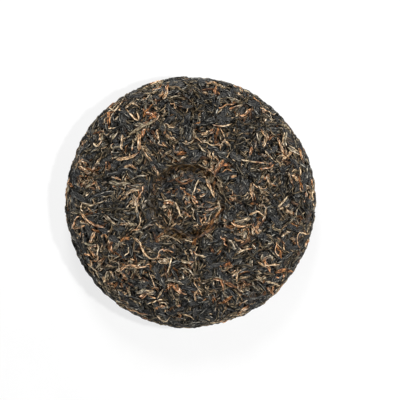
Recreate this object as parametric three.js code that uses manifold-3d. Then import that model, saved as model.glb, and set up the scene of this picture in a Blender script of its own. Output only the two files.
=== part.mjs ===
// A pressed cake of pu erh tea: a round slab of whole leaves, lying on its domed front with the dimpled back up.
// Millimetres, +Z up. The origin is the middle of the slab's footprint, on the surface that it rests on.
//
// Two flat charts describe the slab's skin. A chart is a map of one face, drawn round the middle of that face:
// the distance from the middle is the way along the skin, over the rim if it goes that far. The leaves are laid
// out on the charts, and place() wraps a chart's point onto the skin.
import * as THREE from "three";
import { mergeVertices } from "three/addons/utils/BufferGeometryUtils.js";
import Module from "manifold-3d";

// Driving dimensions of the slab
const RIM_RADIUS = 99.2;
const THICKNESS = 24.8;
const RIM_HEIGHT = 14.2; // of the widest circle above the rest plane
const REST_CUT = 0.15; // how much of the dome the flat spot takes away
const BACK_CURVE = { radial: 11, axial: 2 }; // superellipse powers: a flat face with a round shoulder
const FRONT_CURVE = { radial: 3.6, axial: 1.6 }; // a dome that steepens towards the rim
const OUTLINE_WAVES = [
  { lobes: 2, share: 0.001, phase: -3.0 },
  { lobes: 3, share: 0.0031, phase: -0.77 },
  { lobes: 6, share: 0.0022, phase: -1.4 },
  { lobes: 9, share: 0.0019, phase: 2.62 },
];
const FACE_WAVE = { height: 0.35, length: 62, fadeFrom: 60, fadeTo: 89 };

// The dimple: a round groove with a low button inside it, pressed by the knot of the cloth bag
const DIMPLE_CENTRE = { x: -2.1, y: 0.3 };
const LIP_RADIUS = 29.8;
const GROOVE_RADIUS = 26.8;
const GROOVE_DEPTH = 4.2;
const GROOVE_UNEVEN = 0.3; // the groove is deeper at both ends of one diameter
const GROOVE_DEEP_AT = THREE.MathUtils.degToRad(-72);
const BUTTON_RADIUS = 23;
const BUTTON_DROP = 2;
const BUTTON_CROWN = 0.9;
const DIMPLE_FADES = { from: 34, to: 80 }; // where the mesh's rings slide from the dimple's centre to the slab's

// The mesh of the slab
const SKIN_EDGE = 9.4;
const SKIN_CRAG = 0.32;
const REST_SMOOTH = { from: 30, to: 48 }; // radii between which the crags of the front set in
const RIM_BAND = { from: 82, to: 126 }; // along the skin from the middle of the back
const RING_COUNTS = { face: 6, rim: 9, front: 6 };
const FEWEST_SEGMENTS = 8;
const DIMPLE_SEGMENTS = 26;
const BUTTON_RINGS = [0.36, 0.7, 1]; // shares of the button's radius
const MIDDLE_RING = 17; // radius of the innermost ring on the front

// The leaves that show
const LEAF_LENGTH = { least: 14, most: 22 };
const LEAF_WIDTH = { least: 2, most: 3.4 };
const LEAF_HEIGHT = { least: 0.75, most: 1.15 };
const LEAF_BEND = { least: 0.1, most: 1.5 }; // how far a leaf turns from end to end, in radians
const LEAF_EDGE_LIFT = -0.3;
const LEAF_TIP_LIFT = -0.25;
const LEAF_KEEL = -1.5;
const LEAF_STATIONS = { back: [-0.28, 0.02, 0.3], front: [-0.2, 0.22] }; // shares of the length from the middle
const LEAF_TAPER = 2.4;
const RIDGE_SWAY = 0.3; // share of the half width by which the ridge wanders
const LEAVES_ON_BACK = 92;
const LEAVES_ON_FRONT = 66;
const LEAVES_ON_RIM = { rows: [92, 103.5, 115], each: 19, sway: 0.15 }; // rows are ways from the back's middle
const FRONT_LEAVES_FROM = 24; // the flat spot's middle stays bare
const BACK_LEAVES_TO = 84;
const FRONT_LEAVES_TO = 88;
const RIM_LEAN = 0.4; // rim leaves lie along the rim, give or take this angle
const SEED = 20110;

const OUTLINE_SAMPLES = 1200;
const SLOPE_STEP = 0.05;
const MERGE_DISTANCE = 1e-4;
const GOLDEN_ANGLE = Math.PI * (3 - Math.sqrt(5));

// A seeded random generator, so that each run lays the same leaves
function randomFrom(seed) {
  let state = seed;
  return () => {
    state = (state + 0x6d2b79f5) | 0;
    let t = Math.imul(state ^ (state >>> 15), 1 | state);
    t = (t + Math.imul(t ^ (t >>> 7), 61 | t)) ^ t;
    return ((t ^ (t >>> 14)) >>> 0) / 4294967296;
  };
}

const random = randomFrom(SEED);
const between = (range) => THREE.MathUtils.lerp(range.least, range.most, random());
const either = (most) => (2 * random() - 1) * most;
const smooth = THREE.MathUtils.smoothstep;

// One quarter of the slab's section, from the middle of a face to the widest circle
function quarterSection(curve, height) {
  const points = [];
  for (let i = 0; i <= OUTLINE_SAMPLES; i += 1) {
    const turn = (Math.PI / 2) * (1 - i / OUTLINE_SAMPLES);
    points.push(
      new THREE.Vector2(
        RIM_RADIUS * Math.cos(turn) ** (2 / curve.radial),
        height * Math.sin(turn) ** (2 / curve.axial),
      ),
    );
  }
  return points;
}

// The whole section from the middle of the back to the middle of the front, with the way along it
function sectionTable() {
  const back = quarterSection(BACK_CURVE, THICKNESS - RIM_HEIGHT);
  const front = quarterSection(FRONT_CURVE, RIM_HEIGHT + REST_CUT).reverse();
  const points = [
    ...back.map((p) => new THREE.Vector2(p.x, RIM_HEIGHT + p.y)),
    ...front.slice(1).map((p) => new THREE.Vector2(p.x, RIM_HEIGHT - p.y)),
  ];
  const way = [0];
  for (let i = 1; i < points.length; i += 1) way.push(way[i - 1] + points[i].distanceTo(points[i - 1]));
  return { points, way, length: way[way.length - 1] };
}

const section = sectionTable();

function sectionPoint(along) {
  const s = THREE.MathUtils.clamp(along, 0, section.length);
  let low = 0;
  let high = section.way.length - 1;
  while (high - low > 1) {
    const middle = (low + high) >> 1;
    if (section.way[middle] <= s) low = middle;
    else high = middle;
  }
  const share = (s - section.way[low]) / (section.way[high] - section.way[low]);
  return section.points[low].clone().lerp(section.points[high], share);
}

// How far the dimple lowers the back at this point
function dimple(x, y) {
  const dx = x - DIMPLE_CENTRE.x;
  const dy = y - DIMPLE_CENTRE.y;
  const r = Math.hypot(dx, dy);
  const turn = Math.atan2(dy, dx) - GROOVE_DEEP_AT;
  const groove = GROOVE_DEPTH * (1 + GROOVE_UNEVEN * Math.cos(2 * turn));
  if (r >= GROOVE_RADIUS) return groove * (1 - smooth(r, GROOVE_RADIUS, LIP_RADIUS));
  const crown = BUTTON_CROWN * (1 - Math.min(1, r / BUTTON_RADIUS) ** 2);
  return BUTTON_DROP - crown + (groove - BUTTON_DROP) * smooth(r, BUTTON_RADIUS, GROOVE_RADIUS);
}

// The slight waves of a hand-pressed face, which die out towards the rim
function faceWave(x, y) {
  const perLength = (2 * Math.PI) / FACE_WAVE.length;
  const fade = 1 - smooth(Math.hypot(x, y), FACE_WAVE.fadeFrom, FACE_WAVE.fadeTo);
  return FACE_WAVE.height * fade * Math.sin(perLength * x) * Math.cos(perLength * y);
}

function outlineShare(turn) {
  return OUTLINE_WAVES.reduce((sum, w) => sum + w.share * Math.cos(w.lobes * turn + w.phase), 1);
}

function skinPoint(face, x, y) {
  const way = Math.hypot(x, y);
  const turn = Math.atan2(y, x);
  const at = sectionPoint(face === "back" ? way : section.length - way);
  const radius = at.x * outlineShare(turn);
  const upper = at.y > RIM_HEIGHT;
  const sunk = upper ? dimple(x, y) - faceWave(x, y) : 0;
  return new THREE.Vector3(radius * Math.cos(turn), radius * Math.sin(turn), at.y - sunk);
}

// The skin's point under a chart's point, lifted along the skin's outward normal
function place(face, x, y, lift) {
  const point = skinPoint(face, x, y);
  const alongX = skinPoint(face, x + SLOPE_STEP, y).sub(point);
  const alongY = skinPoint(face, x, y + SLOPE_STEP).sub(point);
  const normal = alongX.cross(alongY).normalize();
  if (face === "front") normal.negate();
  return point.addScaledVector(normal, lift);
}

// Ring positions along the skin, from the middle of the back to the middle of the front
function ringWays() {
  const steps = (from, to, count) =>
    Array.from({ length: count }, (_, i) => THREE.MathUtils.lerp(from, to, (i + 1) / count));
  const wall = (LIP_RADIUS + GROOVE_RADIUS) / 2;
  const inner = (BUTTON_RADIUS + GROOVE_RADIUS) / 2;
  return [
    ...BUTTON_RINGS.map((share) => share * BUTTON_RADIUS),
    inner,
    GROOVE_RADIUS,
    wall,
    LIP_RADIUS,
    ...steps(LIP_RADIUS, RIM_BAND.from, RING_COUNTS.face),
    ...steps(RIM_BAND.from, RIM_BAND.to, RING_COUNTS.rim),
    ...steps(RIM_BAND.to, section.length - MIDDLE_RING, RING_COUNTS.front),
  ];
}

// One ring of vertices, with as many as its length needs, each a little out of line
function skinRing(way, index) {
  const face = way < section.length / 2 ? "back" : "front";
  const reach = face === "back" ? way : section.length - way;
  const radius = sectionPoint(way).x;
  const nearDimple = face === "back" && way > BUTTON_RINGS[0] * BUTTON_RADIUS && way <= LIP_RADIUS;
  const fewest = nearDimple ? DIMPLE_SEGMENTS : FEWEST_SEGMENTS;
  const count = Math.max(fewest, Math.round((2 * Math.PI * radius) / SKIN_EDGE));
  const fade = face === "back" ? 1 - smooth(way, DIMPLE_FADES.from, DIMPLE_FADES.to) : 0;
  const crag = face === "back" ? SKIN_CRAG : SKIN_CRAG * smooth(reach, REST_SMOOTH.from, REST_SMOOTH.to);
  const ring = [];
  for (let i = 0; i < count; i += 1) {
    const turn = ((i + 0.5 * (index % 2)) / count) * 2 * Math.PI;
    const x = reach * Math.cos(turn) + fade * DIMPLE_CENTRE.x;
    const y = reach * Math.sin(turn) + fade * DIMPLE_CENTRE.y;
    ring.push({ turn, point: place(face, x, y, either(crag)) });
  }
  return ring;
}

// Triangles between two rings of any counts, walking round both together
function bridge(inner, outer, add) {
  let i = 0;
  let j = 0;
  const turnOf = (ring, k) => ring[k % ring.length].turn + 2 * Math.PI * Math.floor(k / ring.length);
  while (i < inner.length || j < outer.length) {
    const stepInner =
      j >= outer.length || (i < inner.length && turnOf(inner, i + 1) <= turnOf(outer, j + 1));
    const a = inner[i % inner.length].point;
    const b = outer[j % outer.length].point;
    if (stepInner) {
      i += 1;
      add(a, b, inner[i % inner.length].point);
    } else {
      j += 1;
      add(a, b, outer[j % outer.length].point);
    }
  }
}

function geometryOf(triangles) {
  const positions = triangles.flatMap((p) => [p.x, p.y, p.z]);
  return new THREE.BufferGeometry().setAttribute("position", new THREE.Float32BufferAttribute(positions, 3));
}

function slabGeometry() {
  const rings = ringWays().map(skinRing);
  const triangles = [];
  const add = (a, b, c) => triangles.push(a, b, c);
  const cap = (ring, middle, flip) =>
    ring.forEach(({ point }, i) => {
      const next = ring[(i + 1) % ring.length].point;
      if (flip) add(middle, next, point);
      else add(middle, point, next);
    });
  cap(rings[0], place("back", DIMPLE_CENTRE.x, DIMPLE_CENTRE.y, 0), false);
  for (let k = 1; k < rings.length; k += 1) bridge(rings[k - 1], rings[k], add);
  cap(rings[rings.length - 1], place("front", 0, 0, 0), true);
  return geometryOf(triangles);
}

// One rolled leaf: a ridge between two edges, pointed at both ends, with its keel inside the slab.
// face names the chart that it lies on, and detail the set of stations along it.
function leafGeometry(face, x, y, heading, detail = face) {
  const length = between(LEAF_LENGTH);
  const width = between(LEAF_WIDTH);
  const height = between(LEAF_HEIGHT);
  const bend = between(LEAF_BEND) * (random() < 0.5 ? -1 : 1);
  const radius = length / bend;
  const at = (share, aside, lift) => {
    const turn = heading + bend * share;
    const px = x + radius * (Math.sin(turn) - Math.sin(heading)) - aside * Math.sin(turn);
    const py = y - radius * (Math.cos(turn) - Math.cos(heading)) + aside * Math.cos(turn);
    return place(face, px, py, lift);
  };
  const stations = LEAF_STATIONS[detail].map((share) => {
    const half = (width / 2) * (1 - Math.abs(2 * share) ** LEAF_TAPER);
    const ridge = at(share, either(RIDGE_SWAY * half), height);
    return [at(share, half, LEAF_EDGE_LIFT), ridge, at(share, -half, LEAF_EDGE_LIFT), at(share, 0, LEAF_KEEL)];
  });
  const tips = [at(-0.5, 0, LEAF_TIP_LIFT), at(0.5, 0, LEAF_TIP_LIFT)];
  const triangles = [];
  for (let k = 0; k < 4; k += 1) {
    const n = (k + 1) % 4;
    triangles.push(tips[0], stations[0][k], stations[0][n]);
    for (let i = 1; i < stations.length; i += 1) {
      const [a, b] = [stations[i - 1], stations[i]];
      triangles.push(a[k], b[k], a[n], a[n], b[k], b[n]);
    }
    const last = stations[stations.length - 1];
    triangles.push(last[k], tips[1], last[n]);
  }
  if (face === "back") triangles.reverse();
  return geometryOf(triangles);
}

// Leaves spread evenly over a face by the golden angle, each lying its own way
function faceLeaves(face, from, to, count) {
  return Array.from({ length: count }, (_, i) => {
    const reach = Math.sqrt(THREE.MathUtils.lerp(from * from, to * to, (i + 0.5) / count));
    const turn = i * GOLDEN_ANGLE;
    return leafGeometry(face, reach * Math.cos(turn), reach * Math.sin(turn), random() * 2 * Math.PI);
  });
}

// Rows of leaves round the rim, lying nearly along it
function rimLeaves() {
  return LEAVES_ON_RIM.rows.flatMap((way, row) =>
    Array.from({ length: LEAVES_ON_RIM.each }, (_, i) => {
      const turn = ((i + 0.5 * (row % 2) + either(LEAVES_ON_RIM.sway)) / LEAVES_ON_RIM.each) * 2 * Math.PI;
      const heading = turn + Math.PI / 2 + either(RIM_LEAN);
      return leafGeometry("back", way * Math.cos(turn), way * Math.sin(turn), heading, "front");
    }),
  );
}

const wasm = await Module();
wasm.setup();

function solidFrom(geometry) {
  const bare = geometry.clone();
  bare.deleteAttribute("normal");
  bare.deleteAttribute("uv");
  const merged = mergeVertices(bare, MERGE_DISTANCE);
  return new wasm.Manifold(
    new wasm.Mesh({
      numProp: 3,
      vertProperties: merged.attributes.position.array,
      triVerts: new Uint32Array(merged.index.array),
    }),
  );
}

function geometryFrom(solid) {
  const mesh = solid.getMesh();
  const geometry = new THREE.BufferGeometry();
  geometry.setAttribute("position", new THREE.BufferAttribute(new Float32Array(mesh.vertProperties), 3));
  geometry.setIndex(new THREE.BufferAttribute(new Uint32Array(mesh.triVerts), 1));
  return geometry;
}

// The slab with its leaves fused on, cut flat where it rests
function cakeSolid() {
  const pieces = [
    slabGeometry(),
    ...faceLeaves("back", 0, BACK_LEAVES_TO, LEAVES_ON_BACK),
    ...rimLeaves(),
    ...faceLeaves("front", FRONT_LEAVES_FROM, FRONT_LEAVES_TO, LEAVES_ON_FRONT),
  ];
  const joined = pieces.map(solidFrom).reduce((whole, leaf) => whole.add(leaf));
  // Where leaves close over a hollow or leave a scrap, only the outer body is kept
  const outer = joined.decompose().reduce((a, b) => (b.volume() > a.volume() ? b : a));
  const below = new THREE.BoxGeometry(3 * RIM_RADIUS, 3 * RIM_RADIUS, THICKNESS);
  return outer.subtract(solidFrom(below.translate(0, 0, -THICKNESS / 2)));
}

const tea = new THREE.MeshStandardMaterial({ color: 0x3a332b, roughness: 0.75, metalness: 0 });

const geometry = geometryFrom(cakeSolid());
geometry.computeBoundingBox();
const middle = geometry.boundingBox.getCenter(new THREE.Vector3());
geometry.translate(-middle.x, -middle.y, 0);
geometry.computeVertexNormals();

const cake = new THREE.Mesh(geometry, tea);
cake.name = "tea_cake";

const group = new THREE.Group();
group.add(cake);

export default group;
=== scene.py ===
import math
from dataclasses import dataclass

import bpy
import numpy as np
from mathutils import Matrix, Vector

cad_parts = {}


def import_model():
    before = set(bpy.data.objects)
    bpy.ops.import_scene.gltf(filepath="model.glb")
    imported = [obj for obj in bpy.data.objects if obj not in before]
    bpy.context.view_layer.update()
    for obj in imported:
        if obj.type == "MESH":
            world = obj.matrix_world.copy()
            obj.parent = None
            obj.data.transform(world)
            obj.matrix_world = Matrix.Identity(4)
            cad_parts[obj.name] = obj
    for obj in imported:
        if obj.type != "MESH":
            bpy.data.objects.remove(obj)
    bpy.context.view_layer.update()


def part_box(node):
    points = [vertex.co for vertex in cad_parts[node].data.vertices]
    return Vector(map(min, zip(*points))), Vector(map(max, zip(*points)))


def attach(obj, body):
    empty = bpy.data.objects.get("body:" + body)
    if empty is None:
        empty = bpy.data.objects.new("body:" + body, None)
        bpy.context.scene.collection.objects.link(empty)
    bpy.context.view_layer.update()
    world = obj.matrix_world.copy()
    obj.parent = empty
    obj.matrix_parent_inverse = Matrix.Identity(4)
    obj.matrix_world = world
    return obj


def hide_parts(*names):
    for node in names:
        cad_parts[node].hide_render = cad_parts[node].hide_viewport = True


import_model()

MM = 0.001
NODE = "tea_cake"
SEED = 4127
random = np.random.default_rng(SEED)

# The press skin, which the tops of the leaves reach, worked out from the solid's own box
box_low, box_high = (np.array(corner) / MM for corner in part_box(NODE))
RIM_INSET = 0.3  # from the box's sides
TOP_INSET = 0.5  # from the box's top
WIDEST_AT = 0.57  # share of the thickness at which the cake is widest
RIM_RADIUS = (box_high - box_low)[:2].mean() / 2 - RIM_INSET
THICKNESS = box_high[2] - TOP_INSET
RIM_HEIGHT = WIDEST_AT * THICKNESS
REST_CUT = 0.15  # how far the rest plane cuts into the domed front
BACK_CURVE = (11, 2)  # powers of the section's curve, across the cake and up it
FRONT_CURVE = (3.6, 1.6)
SECTION_STEPS = 1200
OUTLINE_WAVES = (  # lobes, share of the radius, phase
    (2, 0.001, -3.0), (3, 0.0031, -0.77), (6, 0.0022, -1.4), (9, 0.0019, 2.62),
)
FACE_WAVE = {"height": 0.35, "length": 62, "from": 60, "to": 89}  # fades out between the last two
NORMAL_STEP = 0.05  # between the points that the skin's normal is worked out from

# The dimple: a round groove with a low button inside it
DIMPLE_CENTRE = (-2.1, 0.3)
LIP_RADIUS = 29.8
GROOVE_RADIUS = 26.8
GROOVE_DEPTH = 4.2
GROOVE_UNEVEN = 0.3  # the share by which its depth changes on the way round
GROOVE_DEEP_AT = math.radians(-72)  # and at the other end of this diameter
BUTTON_RADIUS = 23
BUTTON_DROP = 2
BUTTON_CROWN = 0.9

# The charts, and where on them leaves may have their middle
CELL = 0.4
CHART_REACH = 130
CHART_MARGIN = 4  # at the chart's edge, which the press leaves out
BACK_CENTRES_TO = 112
FRONT_CENTRES_TO = 96
RIM_FROM = 84
RIM_TO = 98

# Which way the leaves lie, and where the golden ones gather
STRAY = 0.85  # radians, the usual distance from the way that leaves lie
STRAY_LESS = 0.5  # on the rim and on the groove
RING_SPREAD = 3.5
GATHER_LESS_AT_RIM = 0.8

# How the leaves are laid
PATH_SAMPLES = 31
ALONG = np.linspace(0, 1, PATH_SAMPLES)[None, :]
COVER = 3.0  # how many leaves lie over each point, on average
CANDIDATES = 3  # a leaf takes the best of this many places
OUTLINE_FILLS = 0.72  # share of its length times its width that a leaf covers
LAID_WIDTH = 0.85  # share of its width on which a leaf rests
LAID_LINES = 7  # lines along a leaf on which its rest is read
DOME_FALL = 0.45  # share by which a leaf is lower at its edges
STIFFNESS = np.array((1, 2, 3, 2, 1)) / 9  # smooths what a leaf rests on, along the leaf
SINK = 0.3  # share of its height by which a leaf settles into those below
BRIDGE = 2.4  # how far a leaf may pass over what lies under it
BRIDGE_AT_RIM = 0.35
FLATTER_AT_RIM = 0.35  # the share by which leaves at the rim are flatter
STRAND_SHARE = 0.35  # of the golden buds, which have a thin strand beside them
STRAND_WIDTH = 0.4  # of the bud's own
STRAND_GAP = (0.1, 0.5)
ROUTE_ROUNDING = 3  # smoothing passes over a landmark's route
OVERLAP_HIDES = 0.1  # how much higher than the front's leaves those that hide them lie
LEAST_SHOWN = 17  # cells; leaves that show less are left out

# How the pile is pressed
PRESS_ABOVE = 1.1  # the most that a leaf keeps above the mean height
PRESS_BELOW = 6.0
PRESS_BLUR = 7  # spread of the area that the mean height is taken over
BLUR_REACH = 2.5  # spreads
CORE_LIFT = -3.4

# The dimple's groove: an olive tint of its leaves, darkened further as painted shade of the deep groove
TINT_AND_SHADE_SPREAD = 3.2
TINT_AND_SHADE_MOST = 0.94
TINT_AND_SHADE_LEAST = 0.35
TINT_AND_SHADE_DARKEST_AT = math.radians(80)  # and at the other end of this diameter

# The shape of a single leaf. Pairs are the least and the most of what chance gives
SMALLER_MORE_OFTEN = 1.3  # above 1, the smaller sizes come up more often
BASE_END = (0.02, 0.16)  # share of the length over which the leaf widens
TIP_END = (0.1, 0.55)  # share of the length over which it narrows
BASE_FROM = -0.06
TIP_TO = 1.04
TIP_NARROWS = 0.9
SWELLS = (1.2, 3.6)  # along the leaf
SWELL_SIZE = 0.24
TWISTS = (0.6, 2.4)
WAVES = (0.8, 2.2)
HOOK = (1.4, 3.4)  # radians
HOOK_FROM = 0.7
CREASE_ANGLE = math.radians(38)
FOLD_SWAY = 0.22
FOLD_RISE = 0.25
SPIRAL_LAG = 2.6
CRUMPLE_ASIDE = 0.1
CRUMPLE_UP = 0.13
HIGHEST_RIDGE = 1.3
TIP_REACH = 0.8
TIP_LENGTH = 0.15
TIP_HEIGHT = 0.2
GRAIN_STEP = 100  # keeps the grain of one leaf unlike the next one's

# The core's mesh and relief
CORE_RINGS = 150
CORE_SEGMENTS = 280
CORE_CRUMBS = 0.28
CORE_LUMPS = 0.25
CORE_GRIT = 700  # grains to the metre

# The layout of the maps, as shares of a leaf's cell and, for the core's discs, of the whole map
MAP_CELL_LONG = 6  # times as long as wide
MAP_CELL_MARGIN = 0.07
TIP_ROOM = 0.06
DISC_RADIUS = 0.24
DISC_MIDDLE = 0.26


@dataclass
class Kind:
    """One kind of leaf: its share of all leaves, its sizes, how it curves, how strongly it gathers in
    patches, and how much later than the others it is laid."""

    name: str
    share: float
    length: tuple
    width: tuple
    height: tuple
    bend: float
    wave: float
    hooked: float = 0.0
    gather: float = 0.0
    late: float = 0.0
    stations: int = 7
    section: str = "roll"
    slot: str = "tea_leaf"


KINDS = (
    Kind(
        "charcoal_rolls", share=0.24, length=(9, 19), width=(1.6, 3.5), height=(0.7, 1.2),
        bend=0.6, wave=0.2, hooked=0.06, gather=-0.25,
    ),
    Kind(
        "umber_rolls", share=0.16, length=(8, 17), width=(1.4, 3.0), height=(0.8, 1.2),
        bend=0.7, wave=0.22, hooked=0.08,
    ),
    Kind(
        "long_rolls", share=0.13, length=(14, 23), width=(1.1, 2.1), height=(0.7, 1.1),
        bend=1.0, wave=0.4, hooked=0.15, gather=-0.1, stations=10,
    ),
    Kind(
        "flat_leaves", share=0.08, length=(9, 18), width=(3.0, 5.4), height=(0.6, 0.9),
        bend=0.4, wave=0.1, gather=-0.2, section="blade",
    ),
    Kind(
        "golden_buds", share=0.08, length=(6, 14), width=(1.3, 2.8), height=(0.8, 1.2),
        bend=0.9, wave=0.35, hooked=0.2, gather=0.4, late=0.1, stations=10,
        section="bud", slot="golden_bud",
    ),
    Kind(
        "tan_threads", share=0.07, length=(7, 18), width=(0.7, 1.3), height=(0.6, 1.0),
        bend=1.1, wave=0.5, hooked=0.3, gather=0.35, late=0.05, stations=10,
        section="thread", slot="golden_bud",
    ),
    Kind(
        "brown_leaves", share=0.06, length=(6, 13), width=(1.1, 2.6), height=(0.6, 1.0),
        bend=0.6, wave=0.25, hooked=0.08, gather=0.4, slot="brown_leaf",
    ),
    Kind(
        "fragments", share=0.1, length=(2.2, 6), width=(0.8, 1.7), height=(0.5, 0.9),
        bend=0.5, wave=0.1, gather=0.1, late=0.1, stations=6, section="thread", slot="brown_leaf",
    ),
)
NUMBER_OF = {kind.name: number for number, kind in enumerate(KINDS)}
BUD, STEM, BROWN_LEAF = "golden_buds", "tan_threads", "brown_leaves"


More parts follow.
